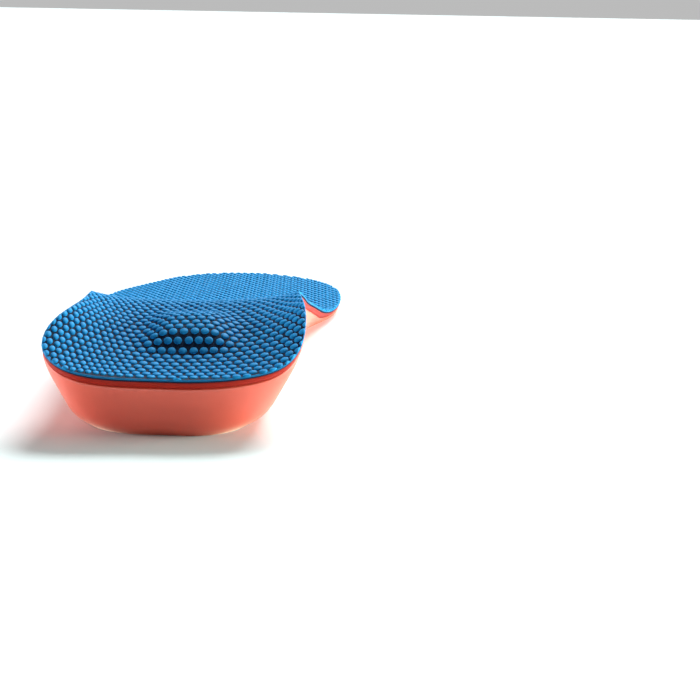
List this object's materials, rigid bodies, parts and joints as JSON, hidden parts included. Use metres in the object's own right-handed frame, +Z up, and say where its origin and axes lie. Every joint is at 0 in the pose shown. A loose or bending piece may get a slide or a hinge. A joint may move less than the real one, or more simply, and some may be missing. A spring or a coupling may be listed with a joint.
{
  "type": "cushioned insole",
  "caption": "Full-length cushioned shoe insole for a left foot: raised foam heel and arch flanges, thin cushion layer, oval heel pad and dotted fabric cover.",
  "frame": {"origin": "centre of the insole's bounding box in plan, on the floor plane that the flat base rests on", "axes": "+Y from the heel to the toe, +X towards the medial (arch) side, +Z up from the floor"},
  "size_m": [0.0935, 0.2608, 0.0328],
  "materials": {
    "body_foam": "coral moulded polyurethane foam with a smooth satin skin",
    "pad_foam": "soft gel foam, matt; enclosed by the layers around it",
    "cushion_foam": "thin saturated red-orange foam with a cut edge",
    "cover_fabric": "near-black knit that carries the raised dots",
    "cover_dots": "blue raised rubbery dots in a hexagonal lattice, satin"
  },
  "bodies": {
    "root": {"foam_body": "body_foam", "heel_pad": "pad_foam", "cushion_layer": "cushion_foam", "top_cover": "cover_fabric"}
  },
  "joints": []
}
